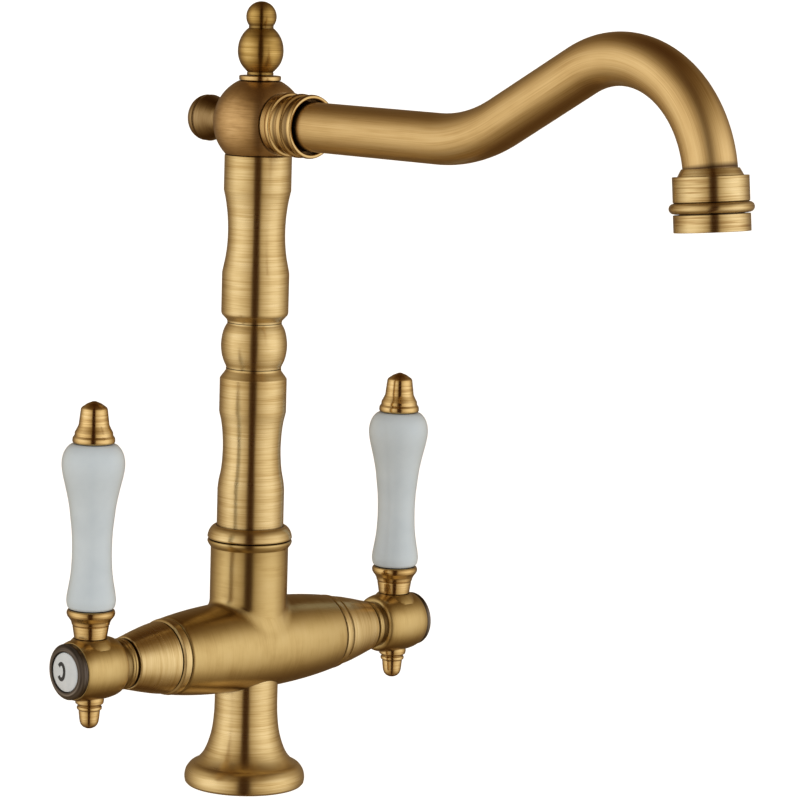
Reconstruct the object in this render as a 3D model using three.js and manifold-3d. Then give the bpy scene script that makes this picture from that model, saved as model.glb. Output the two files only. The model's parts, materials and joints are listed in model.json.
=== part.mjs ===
// Two-handle, single-hole basin and kitchen mixer with a tall turned column and a swan-neck spout.
// Millimetres, +Z up. The origin is the centre of the underside, on the deck. The crossbar runs
// along X with the cold handle at -X, and the spout points along -Y.
import * as THREE from "three";
import { mergeVertices } from "three/addons/utils/BufferGeometryUtils.js";
import Module from "manifold-3d";

const wasm = await Module();
wasm.setup();

// ---- driving dimensions ----
const GAP = 0.3; // between pieces that touch on the real mixer
const BROAD = 24; // sides of a wide turned piece
const FINE = 16; // sides of a slim turned piece
const COARSE = 12; // sides of a hidden one
const HOLE = 12; // sides of a drilled hole
const PAST = 1; // how far a cutter runs past the face it opens

const CROSSBAR_Z = 64.3; // height of the handle axis
const CROSSBAR_R = 20.5; // belly of the crossbar
const CROSSBAR_TAPER = 2.8; // how much thinner the casting is at its ends
const CROSSBAR_END = 44; // half length of the casting
const HANDLE_X = 91; // lever axis, from the middle of the mixer

const STEM_R = 14.2; // pedestal stem
const FLANGE_R = 27.2; // pedestal flange on the deck
const SHANK_R = 10.6; // casting shank inside the pedestal
const SHANK_FOOT = 14.6; // height of its lower end
const SEAL_IN_R = 18.7; // rubber ring in the underside of the pedestal
const SEAL_OUT_R = 23.7;
const BLOCK_R = 15.9; // inlet block
const BLOCK_TOP = 14.3;
const SOCKET_X = 8; // hose sockets, either side of the middle
const SOCKET_R = 4.6;
const SOCKET_DEPTH = 11; // of the hose sockets and of the stud hole
const STUD_Y = 10.5; // fixing stud hole, behind the middle
const STUD_R = 3.2;

const BOSS_R = 17.5; // upright boss on the crossbar
const BOSS_TOP = 112.6;
const COLLAR_R = 19; // rim of the boss and of the foot ring
const CHAMBER_FLOOR = 70;
const CHAMBER_R = 11.3;
const BUSH_SEAT = 94;
const BUSH_SEAT_R = 13;
const WATERWAY_R = 2.8;
const RISE_X = 6; // cold and hot waterways up the shank, either side of the middle
const PORT_OFFSET = 7; // inlet and outlet ports, below and above the handle axis
const CARTRIDGE_FLOOR = 30;
const CARTRIDGE_R = 10.8;

const COLUMN_R = 15;
const COLUMN_FOOT = 113.1;
const COLUMN_BORE_R = 8.9;
const SPIGOT_R = 10.6;
const SPIGOT_TOP = 127;
const RISER_R = 8.6;
const TUBE_WALL = 1.2;
const SCREW_Z = 88; // retaining screw and its groove in the spigot
const SCREW_R = 1.9; // every small screw
const O_RING_ZS = [98, 105];

const HEAD_Z = 300; // centre of the ball head, and height of the spout's level run
const HEAD_R = 20.5;
const HEAD_FOOT = 285.7;
const HEAD_TOP = 318.2;
const SOCKET_FACE = 15; // flat on the ball head for the spout socket
const KNOB_FACE = 18.5; // flat for the rear knob

const SPOUT_R = 10.9;
const SPOUT_START = 8.6;
const AERATOR_TILT = 5.5; // degrees, outwards from plumb
// Each leg of the spout: its length along the middle of the tube, and how far it turns up, in degrees.
const LOW_BEND_R = 80;
const LOW_BEND = 28.2;
const TOP_BEND_R = 48.4;
const TOP_BEND = -(90 + LOW_BEND - AERATOR_TILT);
const radians = THREE.MathUtils.degToRad;
const SPOUT_LEGS = [
  [114.4 - SPOUT_START, 0],
  [LOW_BEND_R * radians(LOW_BEND), LOW_BEND],
  [49.7, 0],
  [TOP_BEND_R * radians(-TOP_BEND), TOP_BEND],
  [4.8, 0],
];
const AERATOR_BACK = 8.2; // the aerator collar starts this far before the end of the tube

// ---- finishes ----
const finish = (color, roughness, metalness) =>
  new THREE.MeshStandardMaterial({ color, roughness, metalness });
const BRASS = finish(0xb38c4e, 0.36, 1);
const PLAIN_BRASS = finish(0xc9a75c, 0.45, 1);
const BLACKENED = finish(0x2c2824, 0.4, 0.9);
const PORCELAIN = finish(0xdde1e0, 0.12, 0);
const CERAMIC = finish(0xe9e6dc, 0.3, 0);
const RUBBER = finish(0x1d1d1d, 0.8, 0);
const PLASTIC = finish(0xd8d8d2, 0.5, 0);
const STEEL = finish(0xb9bcc0, 0.35, 1);

// ---- shapes ----

// A turned solid about +Z, from its outline as [radius, height] pairs: up the outside, down the bore.
function turned(outline, sides = FINE) {
  const points = outline.map(([r, z]) => new THREE.Vector2(r, z));
  if (outline[0][0] > 0) points.push(points[0].clone());
  return new THREE.LatheGeometry(points, sides).rotateX(Math.PI / 2);
}

// A ring or tube with square ends, from its two radii and two heights.
function ring(innerR, outerR, low, high, sides = COARSE) {
  return turned([[innerR, low], [outerR, low], [outerR, high], [innerR, high]], sides);
}

// A plain round bar about +Z.
function bar(r, low, high, sides = COARSE) {
  return turned([[0, low], [r, low], [r, high], [0, high]], sides);
}

// A smooth run of an outline through a few of its points.
function smooth(knots, count) {
  const curve = new THREE.SplineCurve(knots.map(([r, z]) => new THREE.Vector2(r, z)));
  return curve.getPoints(count).map((p) => [p.x, p.y]);
}

// A round stretch of an outline: centre, radius, and the two angles in degrees from the +radius side.
function arc(centreR, centreZ, r, from, to, count) {
  const angles = Array.from({ length: count + 1 }, (_, i) => radians(from + ((to - from) * i) / count));
  return angles.map((a) => [centreR + r * Math.cos(a), centreZ + r * Math.sin(a)]);
}

// Turns a +Z shape to point along +X (side 1) or -X (side -1).
const alongX = (geometry, side) => geometry.rotateY((side * Math.PI) / 2);
// Turns a +Z shape to point along -Y, as the spout does, or along +Y.
const alongSpout = (geometry) => geometry.rotateX(Math.PI / 2);
const alongRear = (geometry) => geometry.rotateX(-Math.PI / 2);

// ---- joining and cutting ----

function solidOf(geometry) {
  const bare = geometry.clone();
  bare.deleteAttribute("normal");
  bare.deleteAttribute("uv");
  const merged = mergeVertices(bare, 1e-4);
  const vertProperties = merged.attributes.position.array;
  const triVerts = new Uint32Array(merged.index.array);
  return new wasm.Manifold(new wasm.Mesh({ numProp: 3, vertProperties, triVerts }));
}

function geometryOf(solid) {
  const mesh = solid.getMesh();
  const geometry = new THREE.BufferGeometry();
  geometry.setAttribute("position", new THREE.BufferAttribute(mesh.vertProperties, 3));
  geometry.setIndex(new THREE.BufferAttribute(mesh.triVerts, 1));
  geometry.computeVertexNormals();
  return geometry;
}

const cut = (geometry, tools) =>
  geometryOf(tools.reduce((solid, tool) => solid.subtract(solidOf(tool)), solidOf(geometry)));
const join = ([first, ...others]) =>
  geometryOf(others.reduce((solid, next) => solid.add(solidOf(next)), solidOf(first)));

// ---- the assembly ----

const mixer = new THREE.Group();

function add(parent, name, geometry, material, x = 0, y = 0, z = 0) {
  const mesh = new THREE.Mesh(geometry, material);
  mesh.name = name;
  mesh.position.set(x, y, z);
  parent.add(mesh);
}

// The barrel-shaped outline of the crossbar, thicker by extra.
function crossbarOutline(extra) {
  const steps = 6;
  const outline = [[0, -CROSSBAR_END]];
  for (let i = -steps; i <= steps; i++) {
    const share = Math.abs(i / steps);
    const r = CROSSBAR_R - CROSSBAR_TAPER * share ** 2.4 + extra;
    outline.push([r, (CROSSBAR_END * i) / steps]);
  }
  return [...outline, [0, CROSSBAR_END]];
}

const crossbar = (extra) => alongX(turned(crossbarOutline(extra), BROAD), 1).translate(0, 0, CROSSBAR_Z);

// Crossbar, boss and shank are one casting, bored for the swivel, the cartridges and the water.
function bodyCasting() {
  const rim = [[BOSS_R, 108.8], [18.5, 110.3], [COLLAR_R, 111.6], [18.8, BOSS_TOP]];
  const boss = turned([[0, CROSSBAR_Z], [BOSS_R - 0.1, CROSSBAR_Z], ...rim, [0, BOSS_TOP]], BROAD);
  const shank = bar(SHANK_R, SHANK_FOOT, CROSSBAR_Z, FINE);
  const tools = [
    bar(CHAMBER_R, CHAMBER_FLOOR, BOSS_TOP + PAST, FINE),
    bar(BUSH_SEAT_R, BUSH_SEAT, BOSS_TOP + PAST, FINE),
    alongRear(bar(SCREW_R + GAP, 9, BOSS_R + PAST, HOLE)).translate(0, 0, SCREW_Z),
  ];
  for (const side of [-1, 1]) {
    const inletZ = CROSSBAR_Z - PORT_OFFSET;
    const outletZ = CROSSBAR_Z + PORT_OFFSET;
    const seat = bar(CARTRIDGE_R, CARTRIDGE_FLOOR, CROSSBAR_END + PAST, FINE);
    const inlet = bar(WATERWAY_R, RISE_X - PAST, CARTRIDGE_FLOOR + PAST, HOLE);
    const outlet = bar(WATERWAY_R, 9, CARTRIDGE_FLOOR + PAST, HOLE);
    tools.push(alongX(seat, side).translate(0, 0, CROSSBAR_Z));
    tools.push(alongX(inlet, side).translate(0, 0, inletZ));
    tools.push(alongX(outlet, side).translate(0, 0, outletZ));
    tools.push(bar(WATERWAY_R, SHANK_FOOT - PAST, inletZ, HOLE).translate(side * RISE_X, 0, 0));
  }
  return cut(join([crossbar(0), boss, shank]), tools);
}

// Bell-shaped pedestal, fish-mouthed at the top to sit against the underside of the crossbar.
function pedestal() {
  const bellKnots = [[22.4, 9.9], [19.6, 13], [16.9, 18.4], [15.3, 23.6], [14.5, 28.5], [STEM_R, 34]];
  const outline = [
    [16.2, 0],
    [18.4, 0],
    [18.4, 1.6],
    [24, 1.6],
    [24, 0],
    [25.6, 0],
    ...smooth([[26.5, 0.7], [FLANGE_R, 3.6], [26.4, 7.4], [24, 9.5]], 4),
    ...smooth(bellKnots, 6),
    [STEM_R, 56],
    [SHANK_R + GAP, 56],
    [SHANK_R + GAP, 14.5],
    [16.2, 14.5],
  ];
  return cut(turned(outline, BROAD), [crossbar(GAP)]);
}

// Brass block that holds the pedestal up on the shank, with the hose sockets and the stud hole.
function inletBlock() {
  const tools = [bar(STUD_R, -PAST, SOCKET_DEPTH, HOLE).translate(0, STUD_Y, 0)];
  for (const side of [-1, 1]) {
    const waterway = bar(WATERWAY_R, SOCKET_DEPTH - PAST, BLOCK_TOP + PAST, HOLE);
    tools.push(bar(SOCKET_R, -PAST, SOCKET_DEPTH, HOLE).translate(side * SOCKET_X, 0, 0));
    tools.push(waterway.translate(side * (RISE_X + 0.6), 0, 0));
  }
  return cut(bar(BLOCK_R, 0, BLOCK_TOP, FINE), tools);
}

function addFoot(parent) {
  add(parent, "body_casting", bodyCasting(), BRASS);
  add(parent, "pedestal_base", pedestal(), BRASS);
  add(parent, "inlet_block", inletBlock(), PLAIN_BRASS);
  add(parent, "base_seal", ring(SEAL_IN_R, SEAL_OUT_R, 0, 1.3, BROAD), RUBBER);
  add(parent, "swivel_bush", ring(11, 12.7, BUSH_SEAT + GAP, BOSS_TOP - 0.4, FINE), PLASTIC);
  add(parent, "swivel_screw", alongRear(bar(SCREW_R, 10.1, 17, HOLE)), STEEL, 0, 0, SCREW_Z);
}

// ---- valve on each end of the crossbar, drawn outwards from the middle ----

// A disc with an inlet and an outlet port.
function portedDisc(r, low, high, portR) {
  const port = (way) => bar(portR, low - PAST, high + PAST, 10).translate(way * PORT_OFFSET, 0, 0);
  return cut(bar(r, low, high), [port(-1), port(1)]);
}

// The moving disc covers one port and has a flat side that opens the other.
function movingDisc() {
  return cut(bar(7.8, 35.3, 38), [new THREE.BoxGeometry(20, 20, 20).translate(14.4, 0, 36)]);
}

function cartridgeHousing() {
  const outside = [[10.4, 35.3], [10.4, 52], [7.6, 53], [7.6, 66.5]];
  return turned([[8.1, 35.3], ...outside, [4.5, 66.5], [4.5, 41.2], [8.1, 41.2]]);
}

function bonnetSleeve() {
  const cone = smooth([[16.35, 52.2], [15.1, 57], [13.2, 62.8], [11.6, 68]], 5);
  return turned([[10.8, 51], [15.9, 51], ...cone, [11.2, 68.7], [8, 68.7], [8, 55], [10.8, 55]]);
}

function trimRing() {
  const outside = [[17, 44.3], [17.35, 45], [17.35, 48.4], [16.9, 50.7]];
  return turned([[10.8, 44.3], ...outside, [10.8, 50.7]]);
}

function addValve(parent, name, side) {
  const centre = [0, 0, CROSSBAR_Z];
  add(parent, name + "_seat_seal", alongX(portedDisc(9.9, 30.3, 32, 2.4), side), RUBBER, ...centre);
  add(parent, name + "_fixed_disc", alongX(portedDisc(9.9, 32.3, 35, 2.2), side), CERAMIC, ...centre);
  add(parent, name + "_cartridge", alongX(cartridgeHousing(), side), PLAIN_BRASS, ...centre);
  add(parent, name + "_trim_ring", alongX(trimRing(), side), BRASS, ...centre);
  add(parent, name + "_bonnet_sleeve", alongX(bonnetSleeve(), side), BRASS, ...centre);
}

// ---- handle ----

// The spindle's drive flange turns the moving disc, and its tip has a threaded hole for the screw.
function spindle() {
  const flange = [[0, 38.3], [7.6, 38.3], [7.6, 40.8], [4.1, 40.8]];
  return turned([...flange, [4.1, 80], [SCREW_R + GAP, 80], [SCREW_R + GAP, 74], [0, 74]], COARSE);
}

function handleScrew() {
  const head = [[SCREW_R, 96.8], [3.9, 96.8], [3.9, 99.6], [0, 99.6]];
  return turned([[0, 74.4], [SCREW_R, 74.4], ...head], COARSE);
}

// The hub is a barrel across the lever, with a collar towards the bonnet and a pocket for the index.
function hub(side) {
  const collar = [[11.3, 69.9], [11.45, 70.8], [10.9, 73], [10.4, 76], [10.4, 78]];
  const barrel = smooth([[10.9, 78.4], [12.6, 81.4], [13.7, 86.2], [14, 91], [13.8, 96.4], [13, 101.2]], 6);
  const pocket = [[12.5, 102.3], [9.3, 102.3], [9.3, 100], [4.4, 100], [4.4, 96.5]];
  const bores = [[SCREW_R + GAP, 96.5], [SCREW_R + GAP, 80.6], [4.5, 80.6]];
  const body = alongX(turned([[4.5, 69.9], ...collar, ...barrel, ...pocket, ...bores]), side);
  const tools = [bar(8, 11.3, 20, FINE), bar(2.9, 5, 20), bar(6.8, -20, -12.2, FINE), bar(2.3, -20, -6)];
  return cut(body, tools.map((tool) => tool.translate(side * HANDLE_X, 0, 0)));
}

function ferrule() {
  const neck = [[7.3, 11.6], [7.85, 19.2], [8.3, 19.8], [8.3, 20.9], [8, 21.4]];
  const lip = [[9.8, 23.2], [10.45, 24.3], [10.45, 25.5], [10, 26.3]];
  return turned([[2.9, 11.6], ...neck, ...lip, [2.9, 26.3]], COARSE);
}

function grip() {
  const foot = [[9.7, 26.6], [10.4, 27.6]];
  const waistKnots = [[10.8, 30.2], [9.9, 36.6], [8.85, 45.5], [8.65, 53.5], [9.6, 66.5], [11.4, 77.8]];
  const waist = smooth(waistKnots, 7);
  const bulb = smooth([[12.75, 83.1], [13.75, 89.2], [13.1, 94.2], [11.3, 97.6], [9, 98.9]], 6);
  return turned([[3, 26.6], ...foot, ...waist, ...bulb, [3, 98.9]]);
}

function cap() {
  const steps = [[9, 99.2], [9.35, 99.9], [9.2, 101.7], [8.3, 102.9], [8.3, 104], [7.2, 106]];
  const cone = [[6.6, 107.3], [5.75, 114.2], [5.3, 114.8], [0.7, 117.4], [0, 117.5]];
  return cut(turned([[0, 99.2], ...steps, ...cone], COARSE), [bar(2.9, 98, 107.6)]);
}

function bottomFinial() {
  const tip = [[0, -26.5], [2.3, -26.1], [3.7, -24.9], [4.25, -23.2], [4.6, -18.8]];
  const rings = [[5.4, -17.8], [5.5, -16.6], [5.2, -15.9], [6.1, -15], [6.35, -14], [6.3, -12.5]];
  return turned([...tip, ...rings, [2, -12.5], [2, -6.3], [0, -6.3]], COARSE);
}

function addHandle(parent, name, side) {
  const centre = [0, 0, CROSSBAR_Z];
  const lever = [side * HANDLE_X, 0, CROSSBAR_Z];
  const indexRing = [[9.3, 102.6], [12.3, 102.6], [12.3, 103.2], [10.9, 104.9], [10.2, 105.2], [9.3, 105]];
  const indexDisc = [[0, 100.3], [9, 100.3], [9, 104.6], [8.4, 104.9], [5, 105.1], [0, 105.2]];
  add(parent, name + "_moving_disc", alongX(movingDisc(), side), CERAMIC, ...centre);
  add(parent, name + "_spindle", alongX(spindle(), side), PLAIN_BRASS, ...centre);
  add(parent, name + "_handle_screw", alongX(handleScrew(), side), STEEL, ...centre);
  add(parent, name + "_hub", hub(side), BRASS, ...centre);
  add(parent, name + "_index_ring", alongX(turned(indexRing), side), BLACKENED, ...centre);
  add(parent, name + "_index_disc", alongX(turned(indexDisc), side), PORCELAIN, ...centre);
  add(parent, name + "_lever_ferrule", ferrule(), BRASS, ...lever);
  add(parent, name + "_lever_grip", grip(), PORCELAIN, ...lever);
  add(parent, name + "_lever_cap", cap(), BRASS, ...lever);
  add(parent, name + "_lever_rod", bar(2.6, 5.3, 107.2, 12), STEEL, ...lever);
  add(parent, name + "_bottom_finial", bottomFinial(), BRASS, ...lever);
}

// ---- column ----

// The tube that turns in the boss, with a groove for the retaining screw and two for its O-rings.
function spigot() {
  const wallOf = (low, high, depthR) => [[SPIGOT_R, low], [depthR, low], [depthR, high], [SPIGOT_R, high]];
  const grooves = [
    ...wallOf(SCREW_Z - 2.2, SCREW_Z + 2.2, 9.6),
    ...O_RING_ZS.flatMap((z) => wallOf(z - 1.2, z + 1.2, 9.2)),
  ];
  return turned([[7.4, 72], [SPIGOT_R, 72], ...grooves, [SPIGOT_R, SPIGOT_TOP], [7.4, SPIGOT_TOP]]);
}

const oRing = () => turned(arc(10.05, 0, 0.7, -180, 90, 3));

function footRing() {
  const innerR = COLUMN_R + GAP;
  const shoulder = [[18.8, COLUMN_FOOT], [COLLAR_R, 113.9], [18.6, 115.3], [17.6, 117.4], [15.9, 118.9]];
  return turned([[innerR, COLUMN_FOOT], ...shoulder, [innerR, 118.9]]);
}

// A waist in the column: the sides draw in from the full radius to midR and out again.
function waist(low, middle, high, midR) {
  const flank = (end) => [midR + 0.6, middle + 0.48 * (end - middle)];
  return smooth([[COLUMN_R, low], flank(low), [midR, middle], flank(high), [COLUMN_R, high]], 8);
}

function lowerColumn() {
  const seatTop = SPIGOT_TOP + GAP;
  const chamfer = [[COLUMN_R, 185.8], [12.4, 189.2], [12.4, 190]];
  const outside = [[COLUMN_R, COLUMN_FOOT], ...waist(136.4, 154.8, 170.6, 13), ...chamfer];
  const bore = [[COLUMN_BORE_R, 190], [COLUMN_BORE_R, seatTop], [SPIGOT_R + GAP, seatTop]];
  return turned([[SPIGOT_R + GAP, COLUMN_FOOT], ...outside, ...bore]);
}

function columnBead() {
  const round = smooth([[12.5, 191], [14, 194.9], [14.8, 200.5], [14.1, 206], [12.3, 209.9]], 6);
  return turned([[COLUMN_BORE_R, 190.3], [12.3, 190.3], ...round, [12.2, 210.5], [COLUMN_BORE_R, 210.5]]);
}

function upperColumn() {
  const outside = [[12.2, 210.8], [12.3, 211.6], [14.8, 214.5], [COLUMN_R, 215.2]];
  const top = [[COLUMN_R, 285.4], [COLUMN_BORE_R, 285.4]];
  return turned([[COLUMN_BORE_R, 210.8], ...outside, ...waist(235, 251.6, 269.8, 12.74), ...top]);
}

// ---- ball head ----

function ballHead() {
  const low = THREE.MathUtils.radToDeg(Math.asin((HEAD_FOOT - HEAD_Z) / HEAD_R));
  const high = THREE.MathUtils.radToDeg(Math.asin((HEAD_TOP - HEAD_Z) / HEAD_R));
  const round = arc(0, 0, HEAD_R, low, high, 9);
  const ball = turned([[0, HEAD_FOOT - HEAD_Z], ...round, [0, HEAD_TOP - HEAD_Z]], 20);
  const tools = [
    bar(COLUMN_BORE_R, -HEAD_R, -7),
    bar(2.6, 8.7, HEAD_R, 12),
    alongSpout(bar(12.3, 4, HEAD_R + 1, FINE)),
    alongSpout(bar(HEAD_R, SOCKET_FACE, HEAD_R + 1)),
    alongRear(bar(3.3, 8.7, HEAD_R + 1, 12)),
    alongRear(bar(8.8, KNOB_FACE, HEAD_R + 1, FINE)),
  ];
  return cut(ball, tools);
}

function rearKnob() {
  const stud = [[0, 9], [3, 9], [3, 18.8]];
  const bun = smooth([[8.3, 18.8], [8.7, 22], [9.7, 27.4], [10.45, 32]], 4);
  const groove = [[10.2, 33.3], [9.7, 33.6], [9.7, 34.2], [10.3, 34.6]];
  const end = [[10.3, 35.8], [9.7, 37.4], [8.3, 38.6], [5, 39.5], [0, 39.8]];
  return turned([...stud, ...bun, ...groove, ...end]);
}

// Stepped ring that holds the spout: three beads and an end lip, recessed round the tube.
function spoutSocket() {
  const neck = [[11.2, 8], [12, 8], [12, 15.3], [13.5, 15.3], [13.4, 18.4]];
  const beads = [
    ...[[14, 19.1], [14.25, 20.4], [14, 21.8], [13.3, 22.4]],
    ...[[13.6, 23.2], [13.6, 26.7], [13.2, 27.3]],
    ...[[13.8, 27.9], [14.15, 29.3], [13.8, 30.9], [13.3, 32.4], [13.35, 33.4]],
  ];
  const lip = [[14.05, 34.1], [14.05, 34.8], [12.4, 34.8], [12.4, 29], [11.2, 29]];
  return turned([...neck, ...beads, ...lip]);
}

function headFinial() {
  const stud = [[0, 309], [2.3, 309], [2.3, 320.9]];
  const neck = [[5.9, 320.9], [5.9, 321.8]];
  const eggKnots = [[5.6, 322.3], [8.3, 325.2], [10.1, 331], [9.1, 336.5], [6.5, 340.6], [5.5, 341.6]];
  return turned([...stud, ...neck, ...smooth(eggKnots, 7), ...arc(0, 346.6, 6.75, -36, 90, 6)]);
}

// ---- spout ----

class SpoutPath extends THREE.Curve {
  // The point a share t of the way along the legs, in the plane X = 0.
  getPoint(t, target = new THREE.Vector3()) {
    let left = t * SPOUT_LEGS.reduce((sum, [length]) => sum + length, 0);
    let reach = SPOUT_START;
    let height = HEAD_Z;
    let heading = 0;
    for (const [length, turn] of SPOUT_LEGS) {
      const run = Math.min(left, length);
      const bend = (radians(turn) * run) / length;
      const chord = bend ? (run * Math.sin(bend / 2)) / (bend / 2) : run;
      reach += chord * Math.cos(heading + bend / 2);
      height += chord * Math.sin(heading + bend / 2);
      heading += bend;
      left -= run;
    }
    return target.set(0, -reach, height);
  }
}

function spoutTube(path) {
  const wall = new THREE.Shape().absarc(0, 0, SPOUT_R, 0, 2 * Math.PI);
  wall.holes.push(new THREE.Path().absarc(0, 0, SPOUT_R - TUBE_WALL, 0, 2 * Math.PI));
  const settings = { steps: 26, curveSegments: 6, bevelEnabled: false, extrudePath: path };
  return new THREE.ExtrudeGeometry(wall, settings);
}

// ---- aerator, drawn downwards from the top of its collar, which is at height 0 ----

function aeratorCollar() {
  const bead = arc(14.8, -15.4, 2.1, -80, 80, 4);
  const band = [[14.7, -13.2], [15.2, -12.9], [15.2, -3.2], [14.9, -2.9], [12.7, -2.9]];
  const outside = [[14.5, -17.6], ...bead, ...band, [11.9, -0.6], [11.7, 0]];
  return turned([[13.2, -17.6], ...outside, [11.3, 0], [11.3, -8.6], [13.2, -8.6]]);
}

function aeratorShell() {
  const outside = [[14.9, -25.8], [15.3, -25.4], [15.3, -18.3], [15, -17.9], [12.9, -17.9], [12.9, -10.5]];
  return turned([[12.7, -25.8], ...outside, [11.6, -10.5], [11.6, -24.4]]);
}

// Metal gauze, with its openings drawn as two rings of holes.
function aeratorScreen() {
  const holes = [];
  for (const [count, r] of [[4, 3.4], [8, 7.8]]) {
    for (let i = 0; i < count; i++) {
      const angle = (2 * Math.PI * i) / count;
      holes.push(bar(1.5, -24, -22, 6).translate(r * Math.cos(angle), r * Math.sin(angle), 0));
    }
  }
  return cut(bar(11.2, -23.4, -22.6, FINE), holes);
}

function addAerator(parent, path) {
  const end = path.getPoint(1);
  const tilt = radians(AERATOR_TILT);
  const aerator = new THREE.Group();
  aerator.position.set(0, end.y + AERATOR_BACK * Math.sin(tilt), end.z + AERATOR_BACK * Math.cos(tilt));
  aerator.rotation.x = -tilt;
  parent.add(aerator);
  add(aerator, "aerator_collar", aeratorCollar(), BRASS);
  add(aerator, "aerator_shell", aeratorShell(), BRASS);
  add(aerator, "aerator_washer", ring(10, 12.8, -10.2, -8.9), RUBBER);
  add(aerator, "aerator_insert", turned([[8.6, -22.3], [11.3, -22.3], [11.3, -11], [9.4, -11]]), PLASTIC);
  add(aerator, "aerator_screen", aeratorScreen(), STEEL);
}

function addSpout(parent) {
  const path = new SpoutPath();
  add(parent, "swivel_spigot", spigot(), PLAIN_BRASS);
  add(parent, "swivel_o_ring_lower", oRing(), RUBBER, 0, 0, O_RING_ZS[0]);
  add(parent, "swivel_o_ring_upper", oRing(), RUBBER, 0, 0, O_RING_ZS[1]);
  add(parent, "column_foot_ring", footRing(), BRASS);
  add(parent, "column_lower", lowerColumn(), BRASS);
  add(parent, "column_bead", columnBead(), BRASS);
  add(parent, "column_upper", upperColumn(), BRASS);
  add(parent, "riser_tube", ring(RISER_R - TUBE_WALL, RISER_R, 127.6, 287.3), PLAIN_BRASS);
  add(parent, "ball_head", ballHead(), BRASS, 0, 0, HEAD_Z);
  add(parent, "rear_knob", alongRear(rearKnob()), BRASS, 0, 0, HEAD_Z);
  add(parent, "spout_socket", alongSpout(spoutSocket()), BRASS, 0, 0, HEAD_Z);
  add(parent, "spout_seal", alongSpout(ring(9.2, 12, 5, 7.7)), RUBBER, 0, 0, HEAD_Z);
  add(parent, "spout_tube", spoutTube(path), BRASS);
  add(parent, "finial_disc", ring(2.6, 9.3, HEAD_TOP + GAP, 320.6, FINE), BRASS);
  add(parent, "head_finial", headFinial(), BRASS);
  addAerator(parent, path);
}

addFoot(mixer);
addSpout(mixer);
for (const [name, side] of [["cold", -1], ["hot", 1]]) {
  addValve(mixer, name, side);
  addHandle(mixer, name, side);
}

export default mixer;
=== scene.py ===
# Two-handle mixer faucet, turned column and swan-neck spout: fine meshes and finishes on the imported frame.
import json
import math
import bpy
from mathutils import Matrix, Vector


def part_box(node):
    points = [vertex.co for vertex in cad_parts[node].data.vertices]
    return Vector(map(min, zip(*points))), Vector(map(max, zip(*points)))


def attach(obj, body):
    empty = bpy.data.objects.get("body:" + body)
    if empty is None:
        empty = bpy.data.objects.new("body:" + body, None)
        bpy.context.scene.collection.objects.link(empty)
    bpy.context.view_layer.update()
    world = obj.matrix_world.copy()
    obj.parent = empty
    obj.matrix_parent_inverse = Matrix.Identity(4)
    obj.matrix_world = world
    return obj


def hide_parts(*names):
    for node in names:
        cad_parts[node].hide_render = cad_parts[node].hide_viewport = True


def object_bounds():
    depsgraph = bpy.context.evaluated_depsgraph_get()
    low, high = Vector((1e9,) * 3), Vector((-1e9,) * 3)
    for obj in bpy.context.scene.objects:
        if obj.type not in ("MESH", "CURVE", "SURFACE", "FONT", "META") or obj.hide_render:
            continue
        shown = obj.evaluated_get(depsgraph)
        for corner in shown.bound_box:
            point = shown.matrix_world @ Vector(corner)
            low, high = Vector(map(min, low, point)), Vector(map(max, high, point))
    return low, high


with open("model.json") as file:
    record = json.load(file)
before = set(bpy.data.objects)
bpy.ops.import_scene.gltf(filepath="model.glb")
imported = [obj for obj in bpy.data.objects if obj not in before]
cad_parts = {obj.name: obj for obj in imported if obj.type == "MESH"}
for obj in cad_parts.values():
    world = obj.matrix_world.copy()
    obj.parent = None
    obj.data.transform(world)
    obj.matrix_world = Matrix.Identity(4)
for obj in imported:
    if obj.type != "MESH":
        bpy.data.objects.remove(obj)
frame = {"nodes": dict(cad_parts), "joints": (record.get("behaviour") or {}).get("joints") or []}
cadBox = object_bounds()
mm = 0.001
print("frame loaded:", len(frame["nodes"]), "nodes")

# where things are, from the frame
joints = {joint["name"]: joint for joint in frame["joints"]}
handleAxis = Vector(joints["cold_quarter_turn"]["pos_m"])
crossbarHeight = handleAxis.z
socketLow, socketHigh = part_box("spout_socket")
headHeight = (socketLow.z + socketHigh.z) / 2  # middle of the ball head and of the spout's level run
up = Vector((0, 0, 1))
forward = Vector((0, -1, 0))  # the spout points forward
backward = Vector((0, 1, 0))


def hexColor(code):
    # sRGB hex to linear, with alpha
    parts = [int(code[i:i + 2], 16) / 255 for i in (1, 3, 5)]
    linear = [p / 12.92 if p <= 0.04045 else ((p + 0.055) / 1.055) ** 2.4 for p in parts]
    return (*linear, 1.0)


def addNode(tree, kind, settings=None, inputs=None):
    # one node with its settings, values and links
    node = tree.nodes.new("ShaderNode" + kind)
    for key, value in (settings or {}).items():
        if key == "stops":
            setStops(node.color_ramp, value)
        else:
            setattr(node, key, value)
    for key, value in (inputs or {}).items():
        if isinstance(value, bpy.types.NodeSocket):
            tree.links.new(value, node.inputs[key])
        else:
            node.inputs[key].default_value = value
    return node


def setStops(ramp, stops):
    # colour stops as (place, hex or grey value)
    while len(ramp.elements) > 1:
        ramp.elements.remove(ramp.elements[-1])
    for i, (place, color) in enumerate(stops):
        stop = ramp.elements[0] if i == 0 else ramp.elements.new(place)
        stop.position = place
        stop.color = hexColor(color) if isinstance(color, str) else (color, color, color, 1.0)


def newFinish(name, values):
    # a material with a Principled shader, its plain values set on its own sockets
    material = bpy.data.materials.new(name)
    material.use_nodes = True
    tree = material.node_tree
    shader = tree.nodes["Principled BSDF"]
    for key, value in values.items():
        shader.inputs[key].default_value = hexColor(value) if isinstance(value, str) else value
    return material, tree, shader


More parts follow.
